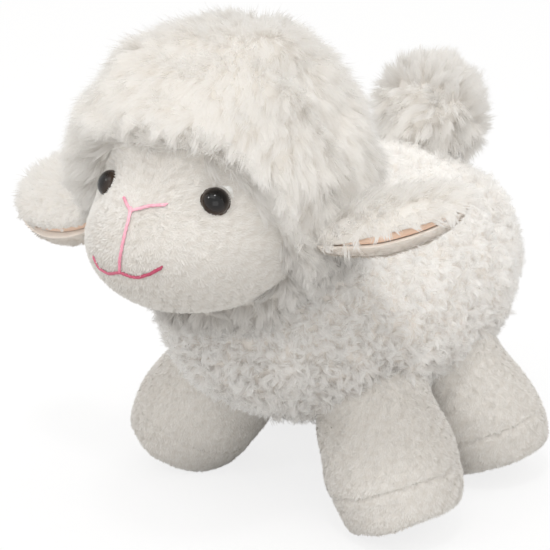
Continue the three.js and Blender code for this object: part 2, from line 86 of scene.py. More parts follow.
def smooth(edge0, edge1, value):
    """0 below the first edge, 1 above the second, and a soft step between them."""
    t = np.clip((value - edge0) / (edge1 - edge0), 0, 1)
    return t * t * (3 - 2 * t)


def link(name, data):
    """An object in the scene for a mesh, a camera or a light."""
    thing = bpy.data.objects.new(name, data)
    bpy.context.scene.collection.objects.link(thing)
    return thing


@dataclass
class Place:
    """Where a piece's own centre and axes are on the toy. The axes are the matrix's columns."""
    centre: np.ndarray
    turn: np.ndarray

    def out(self, points):
        return self.centre + points @ self.turn.T

    def back(self, points):
        return (points - self.centre) @ self.turn


# %% [markdown]
# ## Camera
# The photograph looks at the toy's left front from a little above, with hardly any perspective. The
# distance and the size of a pixel at the target give the lens.

# %% Set up the camera
VIEW_AZIMUTH = 38.0
VIEW_ELEVATION = 20.4
VIEW_DISTANCE = 0.600
VIEW_TARGET = Vector((-0.00705, -0.0108, 0.0780))
PIXEL = 0.336 * MM
IMAGE_WIDTH = 550
SENSOR = 36.0


def view_back(azimuth, elevation):
    """The direction from the toy to a camera."""
    a, e = math.radians(azimuth), math.radians(elevation)
    return Vector((math.sin(a) * math.cos(e), -math.cos(a) * math.cos(e), math.sin(e)))


camera = link("camera", bpy.data.cameras.new("camera"))
camera.data.sensor_width = SENSOR
camera.data.lens = SENSOR * VIEW_DISTANCE / PIXEL / IMAGE_WIDTH
back = view_back(VIEW_AZIMUTH, VIEW_ELEVATION)
camera.location = VIEW_TARGET + back * VIEW_DISTANCE
camera.rotation_euler = back.to_track_quat("Z", "Y").to_euler()
bpy.context.scene.camera = camera
print("lens:", round(camera.data.lens, 1), "mm")

# %% [markdown]
# ## Shader sums
# A material is written here as Python sums. One small class wraps a socket, so that `1 - mask` or
# `grain * 0.2` adds its Math node, and one method makes every other node.

# %% Wrap sockets for shader sums
MIX_FACTOR, MIX_A, MIX_B, MIX_RESULT = 0, 6, 7, 2
OBJECT_PLACE = 3
PILE_UV = "OFBake"


class Amount:
    """A number, a colour or a shader that varies over a surface."""

    def __init__(self, recipe, socket):
        self.recipe = recipe
        self.socket = socket

    def _math(self, operation, *values):
        return self.recipe.out("ShaderNodeMath", {"operation": operation}, dict(enumerate(values)))

    def __add__(self, other):
        return self._math("ADD", self, other)

    def __sub__(self, other):
        return self._math("SUBTRACT", self, other)

    def __rsub__(self, other):
        return self._math("SUBTRACT", other, self)

    def __mul__(self, other):
        return self._math("MULTIPLY", self, other)

    def __pow__(self, other):
        return self._math("POWER", self, other)

    __radd__ = __add__
    __rmul__ = __mul__


class Recipe:
    """A new material under construction, or the nodes of a world."""

    def __init__(self, name, tree=None):
        if tree is None:
            self.material = bpy.data.materials.new(name)
            self.material.use_nodes = True
            tree = self.material.node_tree
            self.shader = tree.nodes["Principled BSDF"]
            self.lit = Amount(self, self.shader.outputs[0])
            self.output = tree.nodes["Material Output"].inputs[0]
        self.tree = tree

    def feed(self, socket, value):
        if isinstance(value, Amount):
            self.tree.links.new(value.socket, socket)
        else:
            socket.default_value = value

    def node(self, kind, settings=None, inputs=None):
        node = self.tree.nodes.new(kind)
        for key, value in (settings or {}).items():
            setattr(node, key, value)
        for key, value in (inputs or {}).items():
            self.feed(node.inputs[key], value)
        return node

    def out(self, kind, settings=None, inputs=None, output=0):
        return Amount(self, self.node(kind, settings, inputs).outputs[output])

    def mix(self, amount, first, second):
        """One colour, going over into another."""
        return self.out("ShaderNodeMix", {"data_type": "RGBA"},
                        {MIX_FACTOR: amount, MIX_A: first, MIX_B: second}, MIX_RESULT)

    def where(self):
        """The place on the toy, in its own coordinates."""
        return self.out("ShaderNodeTexCoord", output=OBJECT_PLACE)

    def marks(self):
        """The two numbers that a piece carries in its UV map."""
        parts = self.node("ShaderNodeSeparateXYZ", None, {0: self.out("ShaderNodeUVMap", {"uv_map": PILE_UV})})
        return Amount(self, parts.outputs[0]), Amount(self, parts.outputs[1])

    def noise(self, where, scale, detail=2.0, roughness=0.5):
        return self.out("ShaderNodeTexNoise", None,
                        {"Vector": where, "Scale": scale, "Detail": detail, "Roughness": roughness})

    def finish(self, **sockets):
        """Feeds the shader, by socket names with underscores for spaces."""
        for name, value in sockets.items():
            self.feed(self.shader.inputs[name.replace("_", " ")], value)
        return self.material


def colour(red, green, blue):
    """A colour as it is seen, from 0 to 255, as the shader wants it."""
    seen = np.array([red, green, blue]) / 255
    plain = np.where(seen <= 0.04045, seen / 12.92, ((seen + 0.055) / 1.055) ** 2.4)
    return (*plain.tolist(), 1.0)


# %% [markdown]
# ## Pile colours
# A strand of pile is painted a little darker and warmer at its root: painted shade deep in the pile, in
# place of the shadow that the long strands don't cast. Every strand has a tint of its own. A texture can't
# follow half a million strands, so each carries two numbers in its UV map: its tint, and how far along the
# strand a point is. The colour is a sum of those two. Real fibres are half clear, so half of the light goes
# through the long wool. Light that bounces inside the pile comes out warmer, so the wool's own colours are
# nearly neutral, and the body's tight curls are paler to make up for their shade.

# %% Make the pile materials
PLUSH = {"Sheen_Roughness": 0.5, "Specular_IOR_Level": 0.2}


def pile_material(name, root, tip, tinge, sheen, light_through=0.0):
    """Pile from a root colour, painted darker as shade deep in the pile, to a tip colour, with some strands towards
    a third.
    """
    recipe = Recipe(name)
    tint, along = recipe.marks()
    # Painted shade: darker and warmer towards the root, as shade deep in the pile.
    root_shade_to_tip = recipe.mix(along ** 0.7, root, tip)
    tinted = recipe.mix(tint ** 3 * 0.6, root_shade_to_tip, tinge)
    if light_through:
        through = recipe.out("ShaderNodeBsdfTranslucent", None, {"Color": tinted})
        both = recipe.out("ShaderNodeMixShader", None, {0: light_through, 1: recipe.lit, 2: through})
        recipe.feed(recipe.output, both)
    return recipe.finish(Base_Color=tinted, Roughness=0.85, Sheen_Weight=sheen, **PLUSH)


# The first colour of each pile is its root, painted darker as shade deep in the pile.
wool_pile = pile_material("wool_pile", colour(229, 226, 222), colour(238, 237, 235), colour(235, 232, 228),
                          0.25, light_through=0.5)
curl_pile = pile_material("curl_pile", colour(240, 237, 234), colour(249, 249, 248), colour(243, 240, 236),
                          0.25, light_through=0.5)
nap_pile = pile_material("nap_pile", colour(234, 230, 224), colour(244, 242, 238), colour(226, 220, 212), 0.3)
lining_pile = pile_material("lining_pile", colour(228, 220, 211), colour(240, 236, 230),
                            colour(226, 216, 206), 0.3)


# %% [markdown]
# ## Cloth under the pile
# Between the strands the backing cloth shows. Under the wool and the curls it is painted a little darker and
# warmer than the tips, as shade under the pile, and its weave gives it a fine grain. Its noise runs in the
# toy's own coordinates, so it needs no unwrapping.

# %% Make the backing materials
def backing_material(name, light, dark, grain_scale, bump_height):
    recipe = Recipe(name)
    where = recipe.where()
    cloud = recipe.noise(where, 60.0, 3.0)
    grain = recipe.noise(where, grain_scale, 2.0, 0.7)
    base = recipe.mix(cloud * 0.6 + grain * 0.4, dark, light)
    bump = recipe.out("ShaderNodeBump", None, {"Strength": 0.6, "Distance": bump_height, "Height": grain})
    return recipe.finish(Base_Color=base, Roughness=0.9, Sheen_Weight=0.3, Normal=bump, **PLUSH)


def grained_material(name, grain_scale, first, second, **finish):
    """A plain finish whose colour drifts a little from one place to the next."""
    recipe = Recipe(name)
    grain = recipe.noise(recipe.where(), grain_scale)
    return recipe.finish(Base_Color=recipe.mix(grain, first, second), **finish)


# The backing under the curls and the wool is painted darker and warmer than the tips: painted shade under the pile.
curl_backing = backing_material("curl_backing", colour(240, 236, 231), colour(228, 222, 214), 900.0, 0.0004)
wool_backing = backing_material("wool_backing", colour(230, 227, 222), colour(221, 217, 211), 900.0, 0.0004)
velboa = backing_material("velboa", colour(238, 235, 230), colour(226, 221, 213), 1800.0, 0.0002)
fibre = backing_material("fibre", colour(246, 246, 244), colour(232, 232, 230), 700.0, 0.0005)

# %% [markdown]
# ## Noise without a texture
# Lumps in the wool and the way that locks stray are worked out on points. A sum of a few waves that run
# in random directions is smooth, quick and the same on every run.

# %% Sum waves into smooth noise
WAVES = 8


def ripple(points, wavelength, seed):
    """Smooth noise of about unit size at points."""
    dice = np.random.default_rng(seed)
    ways = unit(dice.normal(size=(WAVES, 3))) * dice.uniform(0.6, 1.5, (WAVES, 1))
    phases = dice.uniform(0, 2 * math.pi, WAVES)
    return np.sin(points @ ways.T * (2 * math.pi / wavelength) + phases).sum(1) / math.sqrt(WAVES / 2)


# %% [markdown]
# ## Stuffed forms
# Each stuffed piece is a star form: from its centre, every direction leaves its skin once. So a form is
# one function, from directions to distances, that bulges and dents are added to. It gives the skin's
# mesh, the places where pile grows and the way that it faces.

# %% Work out skins from distances
FLOOR_CLEARANCE = 0.05  # millimetres, so that soles and floor don't flicker through each other


def soft_max(first, second, blend):
    """The larger of two distances, with the corner between them rounded."""
    fold = np.clip(blend - np.abs(first - second), 0, None) / blend
    return np.maximum(first, second) + fold * fold * blend / 4


def soft_min(first, second, blend):
    return -soft_max(-first, -second, blend)


def ellipsoid_reach(directions, middle, half):
    """The far side of an ellipsoid round a middle that isn't the centre, or 0 where it is missed."""
    way = directions / half
    centre = middle / half
    along = way @ centre
    size = (way * way).sum(1)
    square = along ** 2 - size * (centre @ centre - 1)
    return np.where(square > 0, (along + np.sqrt(np.clip(square, 0, None))) / size, 0)


def on_skin(reach, points):
    """Points moved straight out from the centre, or in, to the skin."""
    directions = unit(points)
    return directions * reach(directions)[:, None]


def facing(reach, directions, step=1e-3):
    """Which way the skin faces, and how much of it there is for each direction."""
    across = unit(np.cross(directions, unit(np.array([0.31, 0.52, 0.79]))))
    along = np.cross(directions, across)
    run_across = on_skin(reach, directions + step * across) - on_skin(reach, directions - step * across)
    run_along = on_skin(reach, directions + step * along) - on_skin(reach, directions - step * along)
    normal = np.cross(run_across, run_along)
    area = np.linalg.norm(normal, axis=1)
    normal *= np.sign((normal * directions).sum(1))[:, None]
    return unit(normal), area / (4 * step * step)


def grid_mesh(name, points):
    """A smooth mesh through a grid of points, each row of which closes on itself."""
    rows, columns = points.shape[:2]
    index = np.arange(rows * columns).reshape(rows, columns)
    index = np.concatenate([index, index[:, :1]], 1)
    faces = np.stack([index[:-1, :-1], index[:-1, 1:], index[1:, 1:], index[1:, :-1]], -1).reshape(-1, 4)
    mesh = bpy.data.meshes.new(name)
    mesh.from_pydata((points.reshape(-1, 3) * MM).tolist(), [], faces.tolist())
    work = bmesh.new()
    work.from_mesh(mesh)
    bmesh.ops.remove_doubles(work, verts=work.verts, dist=1e-6)
    bmesh.ops.recalc_face_normals(work, faces=work.faces)
    work.to_mesh(mesh)
    work.free()
    mesh.shade_smooth()
    return link(name, mesh)


def turns(columns):
    """Angles of a full turn, in even steps."""
    return np.arange(columns) / columns * 2 * math.pi


def polar(opens, arounds, pole, start):
    """Directions at an angle from a pole, going round it from a start direction."""
    side = np.cross(pole, start)
    round_it = np.cos(arounds)[..., None] * start + np.sin(arounds)[..., None] * side
    return np.cos(opens)[..., None] * pole + np.sin(opens)[..., None] * round_it


def skin_mesh(name, place, reach, directions):
    """The mesh of a form's skin through a grid of directions, nowhere below the floor."""
    points = place.out(on_skin(reach, directions.reshape(-1, 3)))
    points[:, 2] = np.maximum(points[:, 2], FLOOR_CLEARANCE)
    return grid_mesh(name, points.reshape(directions.shape))


def dress(piece, body, material, slot, *nodes):
    """Gives a piece its material and its body, and hides the solids that it stands for."""
    piece.data.materials.append(material)
    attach(piece, body)
    if nodes:
        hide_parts(*nodes)
    return piece


# %% [markdown]
# ## Growing pile
# Plush is woven with thousands of loose ends that gather into locks. It could be a hair system, but
# that can't be carried over as a mesh. Here every strand is a thin tapering ribbon of a few triangles.
# A lock has one bend that all its strands share, and they close up towards its tip. Locks are sown evenly
# by the skin's area, so no place is bald. The long strands cast no shadow on each other, because ribbons
# that are wider than real fibres would turn white wool grey. The skin below them casts it.

# %% Sow places for locks
DENSITY = 1.0
GOLDEN = math.pi * (3 - math.sqrt(5))
CANDIDATES = 60000
SCATTER = 0.3


def even_directions(count):
    """Directions spread evenly over a ball."""
    step = np.arange(count) + 0.5
    height = 1 - 2 * step / count
    flat = np.sqrt(1 - height * height)
    return np.stack([flat * np.cos(GOLDEN * step), flat * np.sin(GOLDEN * step), height], 1)


def sow(reach, spacing, keep, dice):
    """Places for locks on a skin, about a spacing apart, where keep is true of the points."""
    directions = even_directions(CANDIDATES)
    points = on_skin(reach, directions)
    area = facing(reach, directions)[1] * (4 * math.pi / CANDIDATES) * keep(points)
    total = np.cumsum(area)
    count = int(total[-1] / spacing ** 2)
    picked = np.searchsorted(total, (np.arange(count) + dice.random(count)) / count * total[-1])
    shifted = points[picked] + dice.normal(0, spacing * SCATTER, (count, 3))
    places = on_skin(reach, shifted)
    return places, facing(reach, unit(places))[0]


# %% Grow strands into meshes
MOST_TRIANGLES = 180000


@dataclass
class Coat:
    """How a pile grows. Lengths in millimetres, angles in degrees."""
    spacing: float  # from lock to lock
    strands: int  # in a lock
    length: float
    lean: tuple  # from upright, at the root and at the tip
    width: float
    spread: float = 0.7  # of a lock's roots, in spacings
    curl: float = 0.0  # how far a lock turns aside
    stray: float = 20.0  # how far the combing turns aside, over a distance of swirl
    swirl: float = 8.0
    lift: float = 6.0  # how far it rises, over the same distance
    clump: float = 0.3  # how much a lock's tips close up
    steps: int = 3
    soften: float = 0.0  # how much of its shading is the skin's
    clear: bool = True  # whether it lets the light by
    mottle: float = 0.0  # the size of its patches of tint, or 0 for a tint to each lock


# How freely locks and strands vary: angles in degrees, curl and length as shares
LOCK_TURN, LOCK_TILT, STRAND_TILT = 8, 4, 7
CURL_RANGE, LOCK_RANGE, STRAND_RANGE = (0.5, 1.2), (0.8, 1.15), (0.75, 1.1)
# A few guard hairs stand up out of their lock
GUARD_SHARE = 0.05
GUARD_LIFT = 22.0


def strand_paths(coat, places, normals, combed, reach, dice, length=1.0, wild=1.0):
    """The middle line of every strand, and the sideways direction of its ribbon."""
    locks = len(places)
    count = max(2, round(coat.strands * DENSITY)) if coat.strands > 1 else 1
    owner = np.repeat(np.arange(locks), count)
    combed = combed - (combed * normals).sum(1)[:, None] * normals
    combed = unit(combed + 1e-6)
    sideways = np.cross(normals, combed)
    off = np.radians(coat.stray * ripple(places, coat.swirl, 41) + dice.normal(0, LOCK_TURN, locks)) * wild
    raised = np.radians(coat.lift * ripple(places, coat.swirl, 42) + dice.normal(0, LOCK_TILT, locks)) * wild
    flow = combed * np.cos(off)[:, None] + sideways * np.sin(off)[:, None]
    sideways = np.cross(normals, flow)
    hand = dice.choice([-1, 1], locks) * dice.uniform(*CURL_RANGE, locks)
    far = coat.spread * coat.spacing * np.sqrt(dice.random(len(owner)))
    way = dice.uniform(0, 2 * math.pi, len(owner))
    shift = flow[owner] * (far * np.cos(way))[:, None] + sideways[owner] * (far * np.sin(way))[:, None]
    roots = on_skin(reach, places[owner] + shift) if reach else places[owner] + shift
    shift = roots - places[owner]
    long = (np.ones(locks) * length * dice.uniform(*LOCK_RANGE, locks))[owner]
    long = long * coat.length * dice.uniform(*STRAND_RANGE, len(owner))
    guard = dice.random(len(owner)) < GUARD_SHARE
    wobble = np.radians(dice.normal(0, STRAND_TILT, len(owner)) - GUARD_LIFT * guard) - raised[owner]
    line = np.zeros((len(owner), coat.steps + 1, 3))
    across = np.zeros_like(line)
    up, forth, side = normals[owner], flow[owner], sideways[owner]
    first, last = np.radians(coat.lean)
    for step in range(coat.steps):
        t = (step + 0.5) / coat.steps
        lean = first + (last - first) * t + wobble
        turn = np.radians(coat.curl) * t * hand[owner]
        heading = forth * np.cos(turn)[:, None] + side * np.sin(turn)[:, None]
        onward = up * np.cos(lean)[:, None] + heading * np.sin(lean)[:, None]
        line[:, step + 1] = line[:, step] + onward * (long / coat.steps)[:, None]
        across[:, step] = unit(np.cross(up, heading))
    across[:, -1] = across[:, -2]
    t = np.linspace(0, 1, coat.steps + 1)
    closing = (1 - coat.clump * t ** 1.3)[None, :, None]
    return places[owner][:, None] + line + shift[:, None] * closing, across


BLADE_ROLL = 0.3
BLADE_RANGE = (0.7, 1.3)


def ribbons(paths, across, outward, coat, dice):
    """Corners of tapering ribbons, a ribbon's triangles and lengths, and the way that each corner is lit.

    The corners of a soft nap are lit partly as the skin below them."""
    count, rows = paths.shape[:2]
    roll = dice.normal(0, BLADE_ROLL, count)[:, None, None]
    onward = unit(np.gradient(paths, axis=1))
    edge = across * np.cos(roll) + np.cross(onward, across) * np.sin(roll)
    front = (np.cross(edge, onward)[:, 1:] * outward[:, None]).sum((1, 2))
    edge = edge * np.where(front < 0, -1, 1)[:, None, None]
    face = np.cross(edge, onward)
    taper = np.linspace(0, 1, rows)
    half = coat.width / 2 * np.sqrt(1 - taper ** 2) * (0.7 + 0.3 * np.minimum(taper * 3, 1))
    edge = edge * half[None, :, None] * dice.uniform(*BLADE_RANGE, count)[:, None, None]
    both = np.stack([paths - edge, paths + edge], 2).reshape(count, rows * 2, 3)
    corners = np.concatenate([both[:, :-2], paths[:, -1:]], 1)
    last = 2 * rows - 2
    triangles = []
    for row in range(rows - 2):
        low = 2 * row
        triangles += [(low, low + 1, low + 3), (low, low + 3, low + 2)]
    triangles.append((last - 2, last - 1, last))
    triangles = np.array(triangles)
    along = np.append(np.repeat(taper[:-1], 2), 1.0)
    face = np.concatenate([np.repeat(face[:, :-1], 2, axis=1), face[:, -1:]], 1)
    lit = face + coat.soften * outward[:, None]
    return corners, triangles, along, unit(lit)


# How much of a strand's tint is its lock's, its patch's and its own, and how patches stretch with the nap
LOCK_SHARE, PATCH_SHARE, STRAND_SHARE = 0.5, 0.35, 0.3
STREAK = np.array([0.5, 0.5, 1.4])
UV_ROOM = (0.01, 0.99)


def pile_piece(name, corners, triangles, along, tints, lit):
    """One mesh of strands, with their tint and length in its UV map."""
    count, each = corners.shape[:2]
    mesh = bpy.data.meshes.new(name)
    mesh.vertices.add(count * each)
    mesh.vertices.foreach_set("co", (corners * MM).ravel())
    corner = (np.arange(count)[:, None, None] * each + triangles[None]).ravel()
    mesh.loops.add(len(corner))
    mesh.loops.foreach_set("vertex_index", corner.astype(np.int32))
    mesh.polygons.add(len(corner) // 3)
    mesh.polygons.foreach_set("loop_start", np.arange(0, len(corner), 3, dtype=np.int32))
    uv = np.stack([np.repeat(tints, each), np.tile(along, count)], 1)[corner]
    mesh.uv_layers.new(name=PILE_UV).data.foreach_set("uv", uv.ravel())
    mesh.update(calc_edges=True)
    mesh.shade_smooth()
    normals = mesh.attributes.new("custom_normal", "FLOAT_VECTOR", "POINT")
    normals.data.foreach_set("vector", lit.ravel())
    return link(name, mesh)


def grow(name, coat, place, places, normals, combed, reach, dice, finish, length=1.0, wild=1.0):
    """A pile on a skin, in as many meshes as its strands need. finish is its body, material and a slot name that is
    not used.
    """
    paths, across = strand_paths(coat, places, normals, combed, reach, dice, length, wild)
    outward = np.repeat(normals, len(paths) // len(places), 0)
    corners, triangles, along, lit = ribbons(paths, across, outward, coat, dice)
    corners = place.out(corners)
    lit = lit @ place.turn.T
    corners[..., 2] = np.maximum(corners[..., 2], FLOOR_CLEARANCE)
    own_tint = dice.random(len(places))
    if coat.mottle:
        patches = PATCH_SHARE * ripple(places * STREAK, coat.mottle, 43)
        own_tint = np.clip(0.5 + patches + STRAND_SHARE * (own_tint - 0.5), 0, 1)
    tints = np.repeat(own_tint, len(paths) // len(places))
    if not coat.mottle:
        tints = LOCK_SHARE * tints + (1 - LOCK_SHARE) * dice.random(len(paths))
    tints = np.clip(tints, *UV_ROOM)
    most = MOST_TRIANGLES // len(triangles)
    for part, start in enumerate(range(0, len(paths), most)):
        chosen = slice(start, start + most)
        strands = (corners[chosen], triangles, along, tints[chosen], lit[chosen])
        piece = dress(pile_piece(f"{name}_{part + 1}", *strands), *finish)
        piece.visible_shadow = not coat.clear
    print(name, "locks:", len(places), "strands:", len(paths), "triangles:", len(paths) * len(triangles))


# %% [markdown]
# ## Body
# The body is one egg of wool cloth. Its wool is clipped short and curled, so it reads as small nubs with
# shaded gaps, and it is longer and straighter along the back and under the chest. The solid is drawn at the
# middle of the pile, so the backing lies under it and the tips stand a little proud.

# %% Sew the body
BODY_PITCH = 2.0
BACKING_DEPTH = 0.5
low, high = (np.array(corner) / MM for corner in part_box("body_cover"))
BODY_HALF = np.array([99.0, 158.0, 85.0]) / 2
BODY = Place((high + low) / 2, rotation(-X_AXIS, BODY_PITCH))


def body_reach(directions):
    plain = 1 / np.linalg.norm(directions / (BODY_HALF - BACKING_DEPTH), axis=1)
    points = directions * plain[:, None]
    return plain + 0.8 * ripple(points, 34, 1) + 0.5 * ripple(points, 13, 2) + 0.3 * ripple(points, 4.5, 7)


def star_skin(name, reach, place, columns, rings):
    opens = np.linspace(0, math.pi, rings + 1)[:, None]
    return skin_mesh(name, place, reach, polar(opens, turns(columns), Y_AXIS, X_AXIS))


body_skin = star_skin("body_skin", body_reach, BODY, 160, 120)
dress(body_skin, "body", curl_backing, "wool", "body_cover")

# %% [markdown]
# ## Head
# The head is a ball with a broad muzzle that runs into it in a soft fold. The face is smooth cloth, let
# into the hood along a seam that is low over the forehead and wide at the cheeks. Over the forehead the
# hood rolls a little past its seam, so the wool hangs as a fringe. Both are described from the head's
# centre, so one function serves the face, the hood and everything sewn on them.

# %% Describe the head
head_side = axis("head_nod")
head_back = unit(np.array([-head_side[1], head_side[0], 0]))
HEAD = Place(pivot("head_nod"), np.stack([head_side, head_back, np.cross(head_side, head_back)], 1))
SKULL_RADIUS = 38.0
SKULL_CROWN = 2.0
MUZZLE_MIDDLE = np.array([0, -18.2, -12.5])
MUZZLE_HALF = np.array([61.8, 67.4, 46.6]) / 2
MUZZLE_BLEND = 10.0
EYE_OUT = 31.9
EYE_UP = 4.9
EYE_DIMPLE = 3.0
EYE_SOCKET = 9.0


def bare_head(directions):
    skull = SKULL_RADIUS + SKULL_CROWN * np.clip(directions[:, 2], 0, None) ** 2
    return soft_max(skull, ellipsoid_reach(directions, MUZZLE_MIDDLE, MUZZLE_HALF), MUZZLE_BLEND)


def eye_direction(side):
    out, up = math.radians(EYE_OUT), math.radians(EYE_UP)
    return np.array([side * math.sin(out) * math.cos(up), -math.cos(out) * math.cos(up), math.sin(up)])


EYE_SEATS = {side: on_skin(bare_head, eye_direction(side)[None])[0] for side in (1, -1)}


def head_reach(directions):
    """The face's cloth, drawn in where the eyes are fastened."""
    reach = bare_head(directions)
    points = directions * reach[:, None]
    for seat in EYE_SEATS.values():
        reach = reach - EYE_DIMPLE * np.exp(-(np.linalg.norm(points - seat, axis=1) / EYE_SOCKET) ** 2)
    return reach


# The seam's angle from straight ahead, against the angle going round the face from the chin up
SEAM_AROUND = np.array([-90, -65, -40, -20, 0, 25, 45, 65, 90.0])
SEAM_OPEN = np.array([60, 68, 74, 64, 52, 47, 42, 34, 31.0])


def seam_open(rise):
    """The seam's angle from straight ahead, smoothed, in degrees."""
    nearby = [np.interp(rise + shift, SEAM_AROUND, SEAM_OPEN) for shift in (-12, -6, 0, 6, 12)]
    return np.mean(nearby, axis=0)


def past_seam(points):
    """How many degrees a point on the head lies outside the face seam. Negative is inside."""
    directions = unit(points)
    rise = np.degrees(np.arctan2(directions[:, 2], np.abs(directions[:, 0])))
    return np.degrees(np.arccos(np.clip(-directions[:, 1], -1, 1))) - seam_open(rise)


# %% Sew the face and the hood
HOOD_RISE = 7.0
FOREHEAD_ROLL = 7.0
FOREHEAD = (0.0, 0.7)
FACE_COLUMNS = 180
# Shares of the way to the seam, so that the two cloths overlap under it
FACE_END = 1.04
HOOD_START = 0.97


def past_wool_edge(points):
    """As past_seam, but for the edge of the wool, which rolls over the seam above the forehead."""
    return past_seam(points) + FOREHEAD_ROLL * smooth(*FOREHEAD, unit(points)[:, 2])


def hood_reach(directions):
    """The hood's backing, which climbs from the seam to the depth of its wool."""
    climb = smooth(-1, 9, past_wool_edge(directions))
    points = directions * SKULL_RADIUS
    lumps = 0.9 * ripple(points, 30, 3) + 0.5 * ripple(points, 12, 4) + 0.2 * ripple(points, 4.5, 8)
    return bare_head(directions) - 0.5 + climb * (HOOD_RISE + 0.5 + lumps)


def head_patch(name, reach, start, end, rings, roll=0.0):
    """A ring of the head's skin round the face, between two shares of the way from nose to nape."""
    arounds = turns(FACE_COLUMNS)
    rise = np.degrees(np.arctan2(np.sin(arounds), np.abs(np.cos(arounds))))
    seam = np.radians(seam_open(rise))
    seam = seam - np.radians(roll) * smooth(*FOREHEAD, np.sin(seam) * np.sin(arounds))
    share = np.linspace(start, end, rings)[:, None]
    opens = np.where(share < 1, seam * share, seam + (math.pi - seam) * (share - 1))
    return skin_mesh(name, HEAD, reach, polar(opens, arounds, -Y_AXIS, X_AXIS))


face = head_patch("face", head_reach, 0, FACE_END, 110)
dress(face, "head", velboa, "velboa", "face_panel")
hood_skin = head_patch("hood_skin", hood_reach, HOOD_START, 2, 120, FOREHEAD_ROLL)
dress(hood_skin, "head", wool_backing, "wool", "head_hood")

# %% [markdown]
# ## Wool of the body and the hood
# The wool isn't the same all over. It is combed away from the crown in long soft locks, it stands in short
# curls on the cheeks and flanks, and it hangs a little longer under the chest. Each place gets its own
# length and its own share of straying from that same rule.

# %% Grow the body's wool
CURLS = Coat(spacing=1.7, strands=16, length=4.6, lean=(28, 92), width=0.25, curl=120, stray=150, swirl=3.0,
             lift=8.0, clump=0.45, steps=4)
NECK_DEPTH = -1.5


def outside_head(points):
    """True where a point on the body isn't buried in the head."""
    return np.linalg.norm(BODY.out(points) - HEAD.centre, axis=1) > SKULL_RADIUS + HOOD_RISE - NECK_DEPTH


dice = np.random.default_rng(11)
places, normals = sow(body_reach, CURLS.spacing, outside_head, dice)
down_and_back = np.array([0, 0.35, -1.0]) - 0.3 * normals
height = normals[:, 2]
long_locks = 1 + 0.2 * smooth(0.3, 0.9, height) + 0.25 * smooth(0.2, 0.9, -height)
grow("body_wool", CURLS, BODY, places, normals, down_and_back, body_reach, dice,
     ("body", curl_pile, "wool"), length=long_locks, wild=1 - 0.5 * smooth(0.2, 0.8, np.abs(height)))

# %% Grow the hood's wool
FLEECE = Coat(spacing=1.8, strands=30, length=8.0, lean=(44, 74), width=0.21, curl=18, stray=20, swirl=9.0,
              lift=3.0, clump=0.15)
WHORL = unit(np.array([0, 0.45, 1.0]))
BODY_ROOM = 6.0


def outside_body(points):
    """True where a point on the head isn't buried in the body."""
    local = BODY.back(HEAD.out(points))
    return np.linalg.norm(local / (BODY_HALF - BODY_ROOM), axis=1) > 1


dice = np.random.default_rng(12)
places, normals = sow(hood_reach, FLEECE.spacing, lambda p: (past_wool_edge(p) > 0.5) & outside_body(p), dice)
from_whorl = unit(places) - WHORL
low_down = smooth(0.25, -0.35, unit(places)[:, 2])
by_seam = 1 - smooth(0, 14, past_wool_edge(places))
shorter = (1 - 0.3 * low_down) * (1 + 0.12 * by_seam)
grow("hood_wool", FLEECE, HEAD, places, normals, from_whorl, hood_reach, dice,
     ("head", wool_pile, "wool"), length=shorter, wild=0.4 + 1.6 * low_down)

# %% [markdown]
# ## Nap of the face
# Velboa has a pile of about a millimetre, brushed flat. A bump map would do from afar, but the edge of
# the cheek would be hard. Very short single strands give the edge its softness and the streaks their way.

# %% Grow the face's nap
NAP = Coat(spacing=0.36, strands=1, length=1.1, lean=(50, 78), width=0.22, stray=24, swirl=2.6, lift=10, clump=0,
           steps=2, soften=1.2, clear=False, mottle=2.4)
NAP_END = 1.5
NOSE_TIP = np.array([0, -45, 2.0])
dice = np.random.default_rng(13)
nap_spacing = NAP.spacing / math.sqrt(DENSITY)
places, normals = sow(head_reach, nap_spacing, lambda p: past_seam(p) < NAP_END, dice)
from_nose = places - NOSE_TIP
grow("face_nap", NAP, HEAD, places, normals, from_nose, head_reach, dice, ("head", nap_pile, "velboa"))

# %% [markdown]
# ## Eyes
# Toy eyes are domed buttons of black plastic. Towards the narrow rim their colour turns brown: a painted
# reflection of the dome's edge. A turned profile is all they need. What makes them alive is the gloss, so
# they are the one piece with a low roughness.

# %% Turn the eyes
EYE_RADIUS = 4.5
EYE_HEIGHT = 3.6
EYE_RIM = 0.35
EYE_SINK = 2.4
EYE_BACK = 2.0
DOME_FOOT = 0.25
recipe = Recipe("eye_plastic")
from_middle, _ = recipe.marks()
# Painted reflection: the black turns brown towards the rim, where the dome's edge reflects.
eye_plastic = recipe.finish(Base_Color=recipe.mix(from_middle ** 5, colour(4, 3, 3), colour(78, 62, 52)),
                            Roughness=0.03, Specular_IOR_Level=0.42)


def turned(name, profile, place, columns=64):
    """A form turned about its own Z axis, from radii and heights."""
    arounds = turns(columns)
    radii, heights = np.array(profile).T
    points = np.stack([radii[:, None] * np.cos(arounds), radii[:, None] * np.sin(arounds),
                       np.broadcast_to(heights[:, None], (len(profile), columns))], -1)
    return grid_mesh(name, place.out(points))


def mark_middle(piece, place):
    """Writes how far out from the eye's axis each corner is into its UV map."""
    layer = piece.data.uv_layers.new(name=PILE_UV)
    for loop, entry in zip(piece.data.loops, layer.data):
        across, up, _ = place.back(np.array(piece.data.vertices[loop.vertex_index].co) / MM)
        entry.uv = (min(math.hypot(across, up) / EYE_RADIUS, 0.99), 0.5)


def seat_on(reach, where, place):
    """A place on a skin whose own Z faces straight out of it."""
    normal = facing(reach, unit(where)[None])[0][0]
    side = unit(np.cross(Z_AXIS, normal))
    turn = np.stack([side, np.cross(normal, side), normal], 1)
    return Place(place.out(where), place.turn @ turn)


